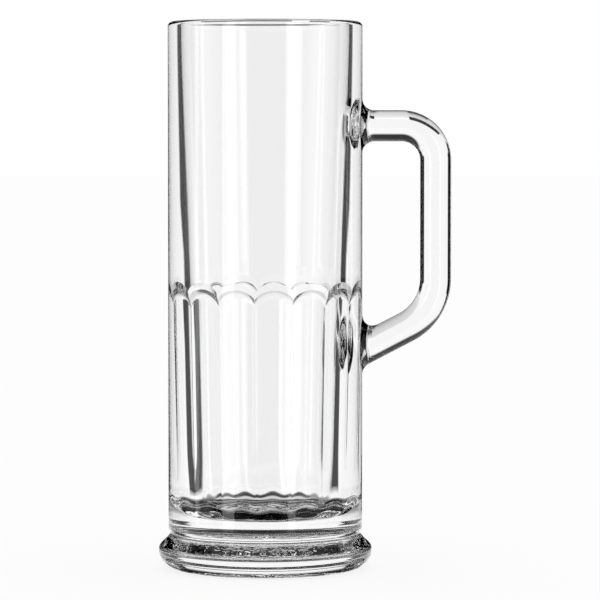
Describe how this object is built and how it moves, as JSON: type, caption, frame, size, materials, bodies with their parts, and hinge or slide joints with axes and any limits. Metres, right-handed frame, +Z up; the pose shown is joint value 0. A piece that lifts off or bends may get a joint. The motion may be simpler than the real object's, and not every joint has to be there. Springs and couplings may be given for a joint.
{
  "type": "handled shot glass",
  "caption": "Tall straight-sided clear glass mug with arched panels pressed round the lower half of its bore, a thick floor, a flared foot and a bent rod handle.",
  "frame": {"origin": "on the bowl's axis, in the flat face under the foot that stands on the table", "axes": "+Z up along the bowl's axis, +X from the axis towards the handle, +Y across the handle's plane"},
  "size_m": [0.0654, 0.0478, 0.122],
  "materials": {
    "clear_glass": "fire-polished clear pressed glass, stippled under the foot"
  },
  "bodies": {
    "root": {"bowl": "clear_glass", "foot": "clear_glass", "handle": "clear_glass"}
  },
  "joints": []
}
